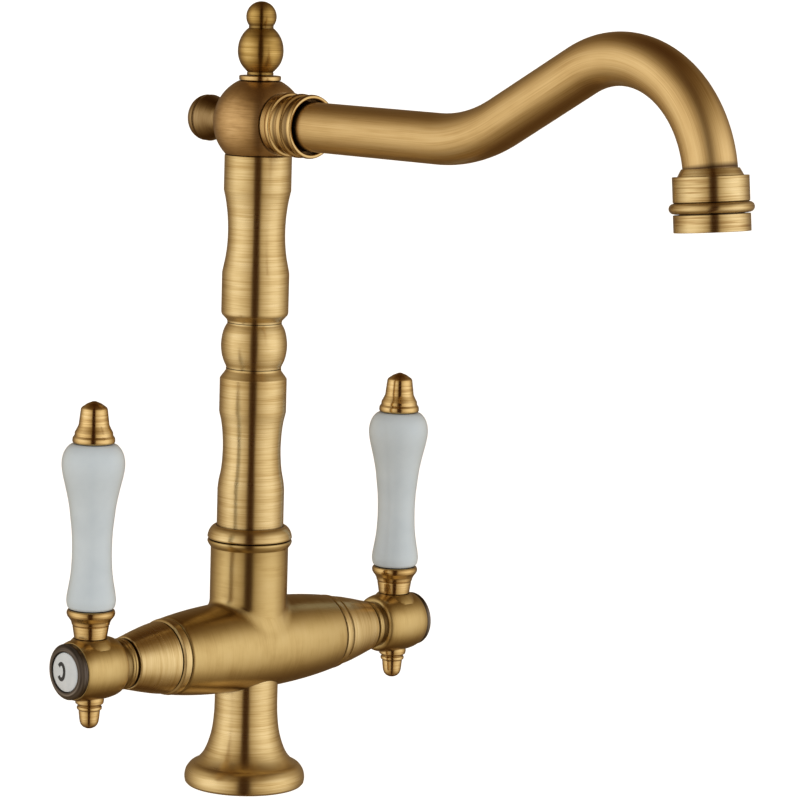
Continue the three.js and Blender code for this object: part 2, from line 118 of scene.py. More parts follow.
def bowed(knots, steps=6):
    # a smooth run of an outline through its knots
    points = [Vector(k[:2]) for k in knots]
    padded = [points[0], *points, points[-1]]
    run = []
    for a, b, c, d in zip(padded, padded[1:], padded[2:], padded[3:]):
        for step in range(steps):
            t = step / steps
            curve = 2 * b + (c - a) * t + (2 * a - 5 * b + 4 * c - d) * t * t
            run.append(tuple((curve + (3 * b - a - 3 * c + d) * t ** 3) / 2))
    return [*run, tuple(points[-1])]


def arcRun(centreR, centreH, radius, start, end, steps=12):
    # a round stretch of an outline, angles in degrees from the outward side
    angles = [math.radians(start + (end - start) * i / steps) for i in range(steps + 1)]
    return [(centreR + radius * math.cos(a), centreH + radius * math.sin(a)) for a in angles]


def easeCorners(outline, closed):
    # rounds each corner that names a third value, its easing in mm
    eased = []
    for i, corner in enumerate(outline):
        here = Vector(corner[:2])
        if len(corner) < 3 or (not closed and i in (0, len(outline) - 1)):
            eased.append(here)
            continue
        before = Vector(outline[i - 1][:2]) - here
        after = Vector(outline[(i + 1) % len(outline)][:2]) - here
        reach = min(corner[2], 0.48 * before.length, 0.48 * after.length)
        start, end = here + before.normalized() * reach, here + after.normalized() * reach
        for t in (0, 0.25, 0.5, 0.75, 1):
            eased.append(start * (1 - t) ** 2 + here * 2 * t * (1 - t) + end * t * t)
    return eased


def newPiece(name, verts, faces):
    mesh = bpy.data.meshes.new(name)
    mesh.from_pydata([tuple(v) for v in verts], [], faces)
    mesh.update()
    piece = bpy.data.objects.new(name, mesh)
    bpy.context.scene.collection.objects.link(piece)
    return piece


# mm: how near its crests are, and how deep the patina and painted shade start and fill
groove = {"reach": 3.4, "shy": 0.1, "full": 1.2}


def turn(name, outline, sides=96):
    # a turned solid about its own Z, outline in mm: up the outside and down the bore
    solid = outline[0][0] == 0
    verts, faces, rows, depths = [], [], [], []
    points = easeCorners(outline, not solid)
    for r, h in points:
        # how far the point lies below the crests on both its sides, from 0 to 1
        crests = []
        for side in (-1, 1):
            crests.append(max(p.x for p in points if 0 <= side * (p.y - h) <= groove["reach"]))
        depth = min(max(min(crests) - r - groove["shy"], 0) / groove["full"], 1)
        count = sides if r > 1e-6 else 1
        depths += [depth] * count
        rows.append([len(verts) + i for i in range(count)])
        for i in range(count):
            angle = 2 * math.pi * i / sides
            verts.append((r * mm * math.cos(angle), r * mm * math.sin(angle), h * mm))
    for low, high in zip(rows, rows[1:] if solid else [*rows[1:], rows[0]]):
        for i in range(sides):
            j = (i + 1) % sides
            corners = [low[i % len(low)], low[j % len(low)], high[j % len(high)], high[i % len(high)]]
            face = list(dict.fromkeys(corners))
            if len(face) > 2:
                faces.append(face)
    piece = newPiece(name, verts, faces)
    piece.data.attributes.new("recess", "FLOAT", "POINT").data.foreach_set("value", depths)
    return piece


def bar(r, low, high, sides=48):
    return turn("tool", [(0, low), (r, low), (r, high), (0, high)], sides)


def facing(place, way):
    # takes Z to a way from a place; straight up needs no turn
    turned = Matrix() if Vector(way) == up else Vector(way).to_track_quat("Z", "Y").to_matrix().to_4x4()
    return Matrix.Translation(place) @ turned


def setDown(piece, place, way):
    # moves a piece's mesh so that its Z runs along a way from a place
    piece.data.transform(facing(place, way))
    return piece


def carve(piece, tools, operation="DIFFERENCE"):
    # cuts tools out of a piece, or joins them to it
    for tool in tools:
        step = piece.modifiers.new("carve", "BOOLEAN")
        step.object, step.operation, step.solver = tool, operation, "MANIFOLD"
    bpy.context.view_layer.update()
    carved = bpy.data.meshes.new_from_object(piece.evaluated_get(bpy.context.evaluated_depsgraph_get()))
    piece.modifiers.clear()
    piece.data = carved
    for tool in tools:
        bpy.data.objects.remove(tool)
    return piece


def brushAround(piece, alongSpot=None):
    # stores where the brush lines run: "grain" has the distance over them in Z, "across" points over them
    mesh = piece.data
    grain = mesh.attributes.new("grain", "FLOAT_VECTOR", "CORNER").data
    across = mesh.attributes.new("across", "FLOAT_VECTOR", "CORNER").data
    for face in mesh.polygons:
        for loop in face.loop_indices:
            spot = mesh.vertices[mesh.loops[loop].vertex_index].co
            if alongSpot:
                grain[loop].vector, across[loop].vector = alongSpot(spot, face)
                continue
            r = math.hypot(spot.x, spot.y)
            grain[loop].vector = (spot.x, spot.y, spot.z + r)
            isEnd = abs(face.normal.z) > 0.96 and r > 1e-5
            across[loop].vector = (spot.x / r, spot.y / r, 0) if isEnd else (0, 0, 1)


def finishPiece(piece, body, slotName, finish, *nodes, crease=32):
    # smooth shading with its sharp edges kept, then finish, body and the nodes it stands for
    piece.data.materials.clear()
    piece.data.materials.append(finish)
    piece.data.shade_smooth()
    piece.data.set_sharp_from_angle(angle=math.radians(crease))
    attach(piece, body)
    if nodes:
        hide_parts(*nodes)
    return piece


def turnedPart(node, body, slotName, finish, place, way, outline, tools=(), sides=96):
    # a turned piece that stands for one node
    piece = turn(node + "_turned", outline, sides)
    if tools:
        carve(piece, tools)
    brushAround(piece)
    piece.matrix_world = facing(place, way)
    return finishPiece(piece, body, slotName, finish, node)


def mathOn(tree, operation, *values):
    # one arithmetic step on values or links
    return addNode(tree, "Math", {"operation": operation}, dict(enumerate(values))).outputs[0]


def mapped(tree, value, low, high, toLow=0.0, toHigh=1.0):
    # a value's range laid on another one and held at its ends
    limits = {"From Min": low, "From Max": high, "To Min": toLow, "To Max": toHigh}
    return addNode(tree, "MapRange", {}, {"Value": value, **limits}).outputs[0]


def noise(tree, place, size, detail):
    # soft random values from 0 to 1, in clouds of about that size
    settings = {"Vector": place, "Scale": 1 / size, "Detail": detail}
    return addNode(tree, "TexNoise", {}, settings).outputs["Fac"]


def colors(tree, value, *stops):
    return addNode(tree, "ValToRGB", {"stops": stops}, {"Fac": value}).outputs["Color"]


def blended(tree, share, color, over):
    # a share of one colour laid over another
    return addNode(tree, "Mix", {"data_type": "RGBA"}, {0: share, 6: color, 7: hexColor(over)}).outputs[2]


def relief(tree, shader, height, depth, socket="Normal"):
    bump = addNode(tree, "Bump", {}, {"Height": height, "Distance": depth, "Strength": 1.0})
    tree.links.new(bump.outputs["Normal"], shader.inputs[socket])


def brushedMetal(name, look):
    # metal turned against an abrasive belt: fine lines that smear each reflection across them
    plain = {"Metallic": 1.0, "Anisotropic": look["anisotropic"], "Anisotropic Rotation": 0.0}
    plain.update({"Coat Weight": look["lacquer"], "Coat Roughness": look["lacquerRoughness"]})
    material, tree, shader = newFinish(name, plain)
    grain = addNode(tree, "Attribute", {"attribute_name": "grain"}).outputs["Vector"]
    across = addNode(tree, "Attribute", {"attribute_name": "across"}).outputs["Vector"]
    toWorld = {"vector_type": "VECTOR", "convert_from": "OBJECT", "convert_to": "WORLD"}
    tangent = addNode(tree, "VectorTransform", toWorld, {"Vector": across}).outputs["Vector"]
    tree.links.new(tangent, shader.inputs["Tangent"])
    run = 1 / (look["lineRunMm"] * mm)

    def lines(pitchMm, detail):
        # noise stretched along the lines
        pitches = (run, run, 1 / (pitchMm * mm))
        scaled = addNode(tree, "VectorMath", {"operation": "MULTIPLY"}, {0: grain, 1: pitches})
        return noise(tree, scaled.outputs["Vector"], 1.0, detail)

    fineLines = lines(look["lineMm"], 3.0)
    broadLines = lines(look["bandMm"], 2.0)
    cloud = noise(tree, addNode(tree, "TexCoord").outputs["Object"], look["cloudMm"] * mm, 3.0)
    mixed = mathOn(tree, "MULTIPLY_ADD", fineLines, look["lineShare"], broadLines)
    tone = mathOn(tree, "MULTIPLY_ADD", cloud, look["cloudShare"], mixed)
    middle = 0.5 * (1 + look["lineShare"] + look["cloudShare"])
    half = look["spread"] * middle
    low, high = middle - half, middle + half
    level = mapped(tree, tone, low, high)
    skin = colors(tree, level, (0.0, look["deep"]), (0.5, look["middle"]), (1.0, look["bright"]))
    # patina and painted shade: ambient occlusion darkens the creases between pieces, and the turned grooves
    # darken by their depth
    shade = addNode(tree, "AmbientOcclusion", {"samples": 6}, {"Distance": look["creaseMm"] * mm})
    hollow = mapped(tree, shade.outputs["AO"], 0.25, 0.85, 1.0, 0.0)
    creases = mathOn(tree, "MULTIPLY", hollow, look["patinaAndShadeShare"])
    recess = addNode(tree, "Attribute", {"attribute_name": "recess"}).outputs["Fac"]
    grooves = mathOn(tree, "MULTIPLY", recess, look["grooveShare"])
    skinWithPatinaAndShade = blended(tree, mathOn(tree, "MAXIMUM", creases, grooves), skin, look["patinaAndShade"])
    # painted rim reflection: towards the silhouette, where the skin turns away from the eye, the colour runs
    # to a rim colour
    away = addNode(tree, "LayerWeight", {}, {"Blend": 0.5}).outputs["Facing"]
    paintedRimReflection = mapped(tree, away, 0.45, 1.0, 0.0, look["paintedRimReflectionShare"])
    tree.links.new(blended(tree, paintedRimReflection, skinWithPatinaAndShade, look["paintedRimReflection"]), shader.inputs["Base Color"])
    rough = mapped(tree, tone, low, high, look["roughest"], look["smoothest"])
    tree.links.new(rough, shader.inputs["Roughness"])
    relief(tree, shader, fineLines, look["lineDepthMm"] * mm)
    return material


# antique brass, belt-brushed and lacquered: honey-coloured, with brown left in the lines, and patina and
# painted shade in the creases
brushedLook = {
    "bright": "#EED6A4", "middle": "#E0C58C", "deep": "#BD9A5C", "patinaAndShade": "#3A1C05",
    "smoothest": 0.25, "roughest": 0.34, "anisotropic": 0.8, "lacquer": 0.12, "lacquerRoughness": 0.22,
    # real lines are about 0.08 mm
    "lineMm": 0.45, "lineRunMm": 22.0, "lineDepthMm": 0.012, "bandMm": 2.6,
    "lineShare": 1.9, "cloudMm": 26.0, "cloudShare": 0.7, "spread": 0.42, "creaseMm": 2.2,
    "patinaAndShadeShare": 0.85, "grooveShare": 0.6,
    "paintedRimReflection": "#6E4A1E", "paintedRimReflectionShare": 0.55,  # painted rim reflection, dark here, where the skin turns away from the eye
}
brushedBrass = brushedMetal("brushedAntiqueBrass", brushedLook)
# cast and hand-rubbed pieces: the lines are fainter and the patina comes in soft clouds
castLook = {**brushedLook, "paintedRimReflectionShare": 0.65, "bright": "#D4BA84", "middle": "#CAAE73",
    "deep": "#A68447", "spread": 0.8, "lineShare": 1.3, "cloudShare": 2.2, "cloudMm": 14.0,
    "lineRunMm": 12.0, "anisotropic": 0.65}
castBrass = brushedMetal("handRubbedCastBrass", castLook)
# the cast ball head, rubbed softer and browner
satinLook = {**brushedLook, "lineRunMm": 7.0, "bright": "#E4C28F", "middle": "#C8A26B",
    "deep": "#906A3F", "smoothest": 0.3, "roughest": 0.4, "lineMm": 0.4, "cloudShare": 1.3,
    "anisotropic": 0.35, "spread": 0.6, "paintedRimReflectionShare": 0.7, "creaseMm": 4.0}
satinBrass = brushedMetal("satinAntiqueBrass", satinLook)
# the knob behind the head: the ball's satin finish in darker colours
knobLook = {**satinLook, "bright": "#B0966C", "middle": "#977B50", "deep": "#6A4D2C"}
knobBrass = brushedMetal("darkSatinBrass", knobLook)
# the crown finial: darker colours, and the fullest painted dark rim reflection at its edges
crownLook = {**brushedLook, "bright": "#DABA78", "middle": "#BE9B55", "deep": "#8A6830",
    "paintedRimReflection": "#4E2F08", "paintedRimReflectionShare": 1.0, "creaseMm": 3.0}
crownBrass = brushedMetal("crownAntiqueBrass", crownLook)
# the outlet's rings, straight from the lathe: stronger lines, a darker deep tone, and a browner painted dark
# rim reflection at the edges
outletLook = {**brushedLook, "deep": "#A98047", "spread": 0.3, "lineMm": 0.6, "paintedRimReflection": "#5A300F",
    "paintedRimReflectionShare": 0.6}
aeratorBrass = brushedMetal("latheMarkedBrass", outletLook)
# the bent tube, rubbed lengthwise by hand: more even, with long soft streaks
drawnLook = {**brushedLook, "bright": "#E8CA92", "middle": "#DCBB80", "deep": "#C09A5E",
    "smoothest": 0.28, "roughest": 0.38, "lineMm": 0.5, "lineRunMm": 35.0, "cloudShare": 1.0,
    "anisotropic": 0.5, "grooveShare": 0.95}
drawnBrass = brushedMetal("drawnAntiqueBrass", drawnLook)
# small turned trim, burnished: clearer reflections, with a reddish brown of patina and painted shade in the
# grooves and a painted dark rim reflection
burnishedLook = {**brushedLook, "bright": "#F0D49E", "middle": "#DAB87A", "deep": "#9C7440",
    "patinaAndShade": "#3A1A08", "grooveShare": 0.65, "smoothest": 0.17, "roughest": 0.26, "lineMm": 0.5,
    "anisotropic": 0.55, "creaseMm": 1.7, "patinaAndShadeShare": 0.9, "paintedRimReflection": "#4A260A", "paintedRimReflectionShare": 0.95}
burnishedBrass = brushedMetal("burnishedBrass", burnishedLook)
# unplated turned brass inside: yellower, with visible tool marks
machinedLook = {**brushedLook, "bright": "#E9CF8B", "middle": "#DBBB70", "deep": "#C29C52",
    "lineMm": 0.4, "patinaAndShadeShare": 0.3}
machinedBrass = brushedMetal("machinedBrass", machinedLook)
# blackened brass: a dark chemical skin, worn to gunmetal on its crests
blackenedLook = {**brushedLook, "bright": "#9A9086", "middle": "#655B52", "deep": "#302A25",
    "patinaAndShade": "#080605", "paintedRimReflection": "#5A524A", "smoothest": 0.28, "roughest": 0.42, "lacquer": 0.0,
    "lineMm": 0.35, "patinaAndShadeShare": 0.9}
blackenedBrass = brushedMetal("blackenedBrass", blackenedLook)


def glazedWhite(name, look):
    # white fired body under a clear glaze: a soft milky look with sharp highlights and a slow ripple
    plain = {"Roughness": look["roughness"], "Coat Weight": look["glaze"],
        "Coat Roughness": look["glazeRoughness"], "IOR": 1.5, "Specular IOR Level": 0.15}
    material, tree, shader = newFinish(name, plain)
    spot = addNode(tree, "TexCoord").outputs["Object"]
    cloud = noise(tree, spot, look["cloudMm"] * mm, 4.0)
    color = colors(tree, cloud, (0.3, look["deep"]), (0.7, look["bright"]))
    tree.links.new(color, shader.inputs["Base Color"])
    ripple = noise(tree, spot, look["rippleMm"] * mm, 1.0)
    relief(tree, shader, ripple, look["rippleDepthMm"] * mm, "Coat Normal")
    return material


# lever grips: cool white porcelain, glossy over a soft body
porcelain = glazedWhite("glazedPorcelain", {"bright": "#E4F0F8", "deep": "#DAE7F0", "roughness": 0.35,
    "glazeRoughness": 0.05, "cloudMm": 14.0, "rippleMm": 9.0, "rippleDepthMm": 0.05, "glaze": 0.5})
# index discs: a brighter, flatter white than the porcelain
enamel = glazedWhite("whiteEnamel", {"bright": "#EDF3F8", "deep": "#E2EAF0", "roughness": 0.3,
    "glazeRoughness": 0.08, "cloudMm": 3.0, "rippleMm": 3.0, "rippleDepthMm": 0.02, "glaze": 0.6})


def plainFinish(name, look):
    # fine-grained finish for hidden and small parts: grain in colour, roughness and relief
    material, tree, shader = newFinish(name, {"Metallic": look.get("metallic", 0.0)})
    grain = noise(tree, addNode(tree, "TexCoord").outputs["Object"], look["grainMm"] * mm, 4.0)
    color = colors(tree, grain, (0.3, look["deep"]), (0.7, look["bright"]))
    tree.links.new(color, shader.inputs["Base Color"])
    rough = mapped(tree, grain, 0.0, 1.0, look["smoothest"], look["roughest"])
    tree.links.new(rough, shader.inputs["Roughness"])
    relief(tree, shader, grain, look["reliefMm"] * mm)
    return material


# moulded nitrile rubber: near black, dusty sheen
sealRubber = plainFinish("mouldedNitrileRubber", {"bright": "#24262A", "deep": "#141516",
    "smoothest": 0.55, "roughest": 0.75, "grainMm": 0.6, "reliefMm": 0.02})
# moulded acetal: milky white and slightly waxy
acetal = plainFinish("mouldedAcetal", {"bright": "#DEDDD5", "deep": "#CFCDC3", "smoothest": 0.35,
    "roughest": 0.5, "grainMm": 1.5, "reliefMm": 0.01})
# lapped alumina: ivory and very even
alumina = plainFinish("lappedAlumina", {"bright": "#EFEAD9", "deep": "#E4DECB", "smoothest": 0.22,
    "roughest": 0.32, "grainMm": 0.5, "reliefMm": 0.003})
# stainless steel as drawn: grey with short scratches
stainless = plainFinish("drawnStainlessSteel", {"bright": "#BFC1C4", "deep": "#9DA0A4", "metallic": 1.0,
    "smoothest": 0.24, "roughest": 0.38, "grainMm": 0.7, "reliefMm": 0.006})
# brass of the hidden valve parts, cast and machined all over
valveBrass = plainFinish("machinedValveBrass", {"bright": "#DEBF76", "deep": "#C7A257", "metallic": 1.0,
    "smoothest": 0.28, "roughest": 0.42, "grainMm": 0.8, "reliefMm": 0.008})
# fired black enamel of the letters: deep black with a faint sheen
blackPaint = plainFinish("firedBlackEnamel", {"bright": "#17181A", "deep": "#0C0C0D", "smoothest": 0.2,
    "roughest": 0.35, "grainMm": 1.0, "reliefMm": 0.004})
print("finishes made:", len(bpy.data.materials))


casting = {
    "halfLength": 46.35, "bellyR": 20.5, "taper": 3.17, "taperPower": 2.4,
    "bossR": 17.45, "rimR": 19.0, "filletUp": 4.0, "filletOut": 4.5, "shankR": 10.6,
    "chamberR": 11.3, "chamberFloor": 5.7, "bushSeatR": 13.0, "bushSeatFloor": 29.7,
    "cartridgeR": 10.8, "cartridgeFloor": 30.0, "screwHoleR": 2.2, "screwHeight": 23.7,
    "waterwayR": 2.8, "waterwayOut": 6.0, "waterwayHeight": 7.0,
    "inletRun": (5, 31), "outletRun": (9, 31),
    "postLinesFrom": 21.5, "postLinesR": 17.6, "postLinesLow": 14.0,  # where the lines go round the boss
}
castingLow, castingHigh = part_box("body_casting")
bossTop = castingHigh.z / mm - crossbarHeight / mm  # above the crossbar's middle, in mm
shankFoot = castingLow.z / mm - crossbarHeight / mm


def barrelR(x):
    # radius of the crossbar at x, in mm
    return casting["bellyR"] - casting["taper"] * abs(x / casting["halfLength"]) ** casting["taperPower"]


def crossbarSolid(extra=0.0):
    half, steps = casting["halfLength"], 44
    sides = [(barrelR(half * i / steps) + extra, half * i / steps) for i in range(-steps, steps + 1)]
    near = [(sides[0][0] - 0.5, -half), (sides[0][0], -half + 0.5)]
    far = [(sides[-1][0], half - 0.5), (sides[-1][0] - 0.5, half)]
    outline = [(0, -half), *near, *sides[1:-1], *far, (0, half)]
    return setDown(turn("crossbar", outline, 160), Vector(), (1, 0, 0))


def roof(rho, angle):
    # height of the crossbar's skin over a point that far out from the upright axis, in mm
    return math.sqrt(max(barrelR(rho * math.cos(angle)) ** 2 - (rho * math.sin(angle)) ** 2, 0.01))


def flaredPost(name, r, top, filletUp, filletOut, rim=(), sides=160):
    # an upright post whose foot flares on to the crossbar, with a different foot on each side
    rows = []
    for i in range(sides):
        angle = 2 * math.pi * i / sides

        def slopeAt(rho):
            return (roof(rho + 0.05, angle) - roof(rho - 0.05, angle)) / 0.1

        reach, run = r, 0.0
        while run < filletOut and reach < casting["bellyR"] - 0.6:
            run += 0.05 * math.hypot(1, slopeAt(reach))
            reach += 0.05
        landing, slope = roof(reach, angle), slopeAt(reach)
        knee = landing - slope * (reach - r)
        column = [(0, 0), (reach + 0.4, 0), (reach + 0.4, landing + 0.4 * slope - 0.3)]
        for step in range(13):
            t = step / 12
            out = reach * (1 - t) ** 2 + r * (2 * t * (1 - t) + t * t)
            rise = landing * (1 - t) ** 2 + knee * 2 * t * (1 - t) + (knee + filletUp) * t * t
            column.append((out, rise))
        column += [(r, 22 + (top - 26) * k / 3) for k in (1, 2)]
        column += [*rim, (0, top)]
        rows.append([(rho * math.cos(angle), rho * math.sin(angle), z) for rho, z in column])
    count = len(rows[0])
    verts = [rows[0][0], rows[0][-1]] + [p for row in rows for p in row[1:-1]]

    def at(i, k):
        # the first two corners are the middles of the foot and the top
        return 0 if k == 0 else 1 if k == count - 1 else 2 + (i % sides) * (count - 2) + k - 1

    faces = []
    for i in range(sides):
        for k in range(count - 1):
            faces.append(list(dict.fromkeys([at(i, k), at(i + 1, k), at(i + 1, k + 1), at(i, k + 1)])))
    return newPiece(name, [Vector(v) * mm for v in verts], faces)


def bodyCasting():
    bossR, rimR = casting["bossR"], casting["rimR"]
    lip = [(bossR + 0.1, bossTop - 3.5), (18.45, bossTop - 2.3), (rimR, bossTop - 1.0),
        (rimR - 0.1, bossTop - 0.3)]
    rim = [(bossR, bossTop - 3.8), *bowed(lip, 5), (18.5, bossTop)]
    piece = crossbarSolid()
    piece.name = "body_casting_finished"
    boss = flaredPost("boss", casting["bossR"], bossTop, casting["filletUp"], casting["filletOut"], rim)
    carve(piece, [boss, bar(casting["shankR"], shankFoot, 0)], "UNION")
    holes = [
        bar(casting["chamberR"], casting["chamberFloor"], bossTop + 1),
        bar(casting["bushSeatR"], casting["bushSeatFloor"], bossTop + 1),
        setDown(bar(casting["screwHoleR"], 9, 19), up * casting["screwHeight"] * mm, backward),
    ]
    r, height = casting["waterwayR"], casting["waterwayHeight"]
    for side in (-1, 1):
        out = Vector((side, 0, 0))
        holes.append(setDown(bar(casting["cartridgeR"], casting["cartridgeFloor"], 48), Vector(), out))
        holes.append(setDown(bar(r, shankFoot - 1, -height), out * casting["waterwayOut"] * mm, up))
        holes.append(setDown(bar(r, *casting["inletRun"]), up * -height * mm, out))
        holes.append(setDown(bar(r, *casting["outletRun"]), up * height * mm, out))
    carve(piece, holes)

    def lines(spot, face):
        # round the crossbar, and round the boss above its foot
        middle = face.center / mm
        isNear = math.hypot(middle.x, middle.y) < casting["postLinesR"]
        if isNear and middle.z > casting["postLinesLow"] or middle.z > casting["postLinesFrom"]:
            return (spot.x, spot.y, spot.z + math.hypot(spot.x, spot.y)), (0, 0, 1)
        return (spot.y, spot.z, spot.x + math.hypot(spot.y, spot.z)), (1, 0, 0)

    brushAround(piece, lines)
    piece.matrix_world = Matrix.Translation((0, 0, crossbarHeight))
    return finishPiece(piece, "mixer_body", "antique_brass", castBrass, "body_casting", crease=40)


bodyCasting()
print("body casting made")


pedestal = {
    "stemR": 14.2, "boreR": 10.9, "pocketR": 16.2, "pocketTop": 14.5, "sealIn": 18.4, "sealOut": 24.0,
    "flange": [(25.9, 0, 0.4), (26.9, 1.1), (27.25, 3.4), (26.75, 6.2), (25.4, 8.4), (24.2, 9.5),
        (22.9, 10.1)],
    "bell": [(22.9, 10.1), (21.3, 11.3), (19.3, 13.6), (17.7, 16.6), (16.4, 20.2), (15.4, 24),
        (14.75, 28.2), (14.3, 33.5)],
    "seal": [(18.7, 0, 0.3), (23.7, 0, 0.3), (23.7, 1.3, 0.3), (18.7, 1.3, 0.3)],
    "screw": [(0, 0), (1.5, 0), (1.9, 0.4), (1.9, 6.9, 0.25), (0, 6.9)],
}


def pedestalBase():
    p = pedestal
    outline = [
        (p["pocketR"], 0, 0.2), (p["sealIn"], 0, 0.2), (p["sealIn"], 1.6),
        (p["sealOut"], 1.6), (p["sealOut"], 0, 0.2),
        p["flange"][0], *bowed(p["flange"][1:]), *bowed(p["bell"])[1:],
        (p["stemR"], 38), (p["stemR"], 56), (p["boreR"], 56),
        (p["boreR"], p["pocketTop"]), (p["pocketR"], p["pocketTop"]),
    ]
    piece = turn("pedestal_base_turned", outline, 128)
    carve(piece, [setDown(crossbarSolid(0.02), Vector((0, 0, crossbarHeight)), up)])
    brushAround(piece)
    return finishPiece(piece, "mixer_body", "antique_brass", brushedBrass, "pedestal_base")


inlets = {
    "r": 15.9, "depth": 11.0, "studR": 3.2, "studBack": 10.5,
    "socketR": 4.6, "socketOut": 8.0, "wayR": 2.8, "wayOut": 6.6,
}


def inletBlock():
    r, depth, top = inlets["r"], inlets["depth"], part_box("inlet_block")[1].z / mm
    tools = [setDown(bar(inlets["studR"], -1, depth), backward * inlets["studBack"] * mm, up)]
    for side in (-1, 1):
        out = Vector((side, 0, 0)) * mm
        tools.append(setDown(bar(inlets["socketR"], -1, depth), out * inlets["socketOut"], up))
        tools.append(setDown(bar(inlets["wayR"], depth - 1, top + 1), out * inlets["wayOut"], up))
    outline = [(0, 0), (r, 0, 0.5), (r, top, 0.5), (0, top)]
    return turnedPart("inlet_block", "mixer_body", "plain_brass", machinedBrass, Vector(), up, outline,
        tools)


pedestalBase()
inletBlock()
turnedPart("base_seal", "mixer_body", "seal_rubber", sealRubber, Vector(), up, pedestal["seal"])
screwPlace = Vector((0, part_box("swivel_screw")[0].y, crossbarHeight + casting["screwHeight"] * mm))
keyHole = bar(0.95, 5.2, 8, 6)  # hexagonal
turnedPart("swivel_screw", "mixer_body", "stainless_steel", stainless, screwPlace, backward,
    pedestal["screw"], [keyHole], 48)
print("pedestal made")


footRing = {
    "foot": [(18.7, 0), (19, 0.5)],
    "round": [(19, 0.9), (18.75, 2.1), (18.1, 3.7), (17.1, 5.0), (15.9, 5.8)],
    "boreR": 15.2, "height": 5.8,
}
lowerColumn = {
    "foot": [(10.9, 0), (15, 0, 0.25)],
    "waist": [(15, 21.5), (14.97, 22.6), (14.55, 26.2), (13.75, 30.2), (13.22, 35), (13.0, 41.5),
        (13.35, 48.3), (14.0, 53.1), (14.6, 55.7), (15, 57.5)],
    "top": [(15, 72.5, 0.5), (12.4, 76.0, 0.3), (12.4, 76.9)],
    "bore": [(8.9, 76.9), (8.9, 14.2), (10.9, 14.2)],
}
bead = {
    "round": [(12.5, 0.9), (13.5, 3.0), (14.3, 5.6), (14.72, 8.4), (14.78, 10.9), (14.45, 13.9),
        (13.85, 16.5), (13.0, 18.5), (12.3, 19.6)],
    "boreR": 8.9, "neckR": 12.3, "height": 20.2,
}
upperColumn = {
    "foot": [(8.9, 0), (12.2, 0), (12.35, 0.9, 0.3), (14.7, 3.4, 0.5), (15, 4.5, 0.4)],
    "waist": [(15, 21.5), (14.9, 22.6), (14.3, 25.6), (13.6, 29.2), (13.05, 33.6), (12.78, 38.4),
        (12.8, 43), (13.05, 47.2), (13.5, 51.2), (14.1, 55), (15, 59)],
    "top": [(15, 74.6, 0.25), (8.9, 74.6)],
}


def columnPart(node, outline):
    return turnedPart(node, "spout_assembly", "antique_brass", brushedBrass,
        Vector((0, 0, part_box(node)[0].z)), up, outline, sides=128)


columnPart("column_foot_ring", [(footRing["boreR"], 0), *footRing["foot"], *bowed(footRing["round"]),
    (footRing["boreR"], footRing["height"])])
columnPart("column_lower", [*lowerColumn["foot"], *bowed(lowerColumn["waist"]), *lowerColumn["top"],
    *lowerColumn["bore"]])
columnPart("column_bead", [(bead["boreR"], 0), (bead["neckR"], 0), *bowed(bead["round"]),
    (bead["neckR"] - 0.1, bead["height"]), (bead["boreR"], bead["height"])])
columnPart("column_upper", [*upperColumn["foot"], *bowed(upperColumn["waist"]), *upperColumn["top"]])
print("column made")


ballHead = {
    "r": 20.5, "boreR": 8.9, "recessR": 12.3, "recessFrom": 4.0, "socketFace": 15.0,
    "knobFace": 18.5, "knobFaceR": 8.8, "finialHoleR": 2.6, "knobHoleR": 3.3, "holesFrom": 8.7,
}
rearKnob = {
    "stud": [(0, 0), (3, 0), (3, 9.8)],
    "collar": [(8.7, 9.8, 0.2), (8.7, 10.5, 0.2), (7.4, 11.0)],
    "bun": [(6.9, 11.6), (6.95, 13.6), (7.4, 15.8), (8.3, 17.9), (9.2, 20.0), (9.95, 22.0),
        (10.4, 23.6)],
    "groove": [(10.3, 24.2, 0.25), (9.6, 24.5, 0.15), (9.6, 25.2, 0.15), (10.2, 25.5, 0.25)],
    "end": [(10.3, 26.4), (10.0, 27.6), (9.3, 28.9), (8.0, 29.9), (6.0, 30.5), (3.0, 30.78), (0, 30.8)],
}
spoutSocket = {
    "neck": [(11.2, 0), (12, 0), (12, 7.3), (13.45, 7.3, 0.3), (13.4, 10.4, 0.2)],
    "beads": [(13.9, 11.0, 0.4), (14.25, 12.4, 0.4), (13.9, 13.3, 0.3), (12.8, 13.7, 0.3), (12.6, 15.2),
        (12.8, 17.6, 0.3), (13.9, 18.1, 0.3), (14.15, 19.2, 0.5), (14.0, 20.8, 0.5), (12.9, 21.5, 0.3),
        (12.65, 22.9), (12.8, 24.4, 0.3)],
    "lip": [(13.9, 25.0, 0.3), (14.1, 26.0, 0.4), (13.8, 27.2, 0.4), (12.7, 27.5, 0.4),
        (12.1, 27.0, 0.3), (12, 25.2), (12, 21), (11.2, 21)],
}
finial = {
    "stud": [(0, 0), (2.3, 0), (2.3, 11.9)],
    "neck": [(5.9, 11.9, 0.2), (5.9, 12.7, 0.2)],
    "egg": [(5.7, 13.2), (6.8, 14.3), (8.3, 16.1), (9.3, 18.0), (10.0, 20.5), (10.12, 23.2),
        (9.75, 25.9), (8.9, 28.3), (7.7, 30.3), (6.4, 31.8), (5.45, 32.6)],
    "ballR": 6.75, "ballHeight": 37.6,
}
headCentre = Vector((0, 0, headHeight))


def headPart(node, finish, way, outline, tools=(), sides=96):
    # stands on the ball head's centre, its outline starting at the near side of its box
    low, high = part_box(node)
    start = low.z - headHeight if way == up else low.y if way == backward else -high.y
    place = headCentre + Vector(way) * start
    return turnedPart(node, "spout_assembly", "antique_brass", finish, place, way, outline, tools, sides)


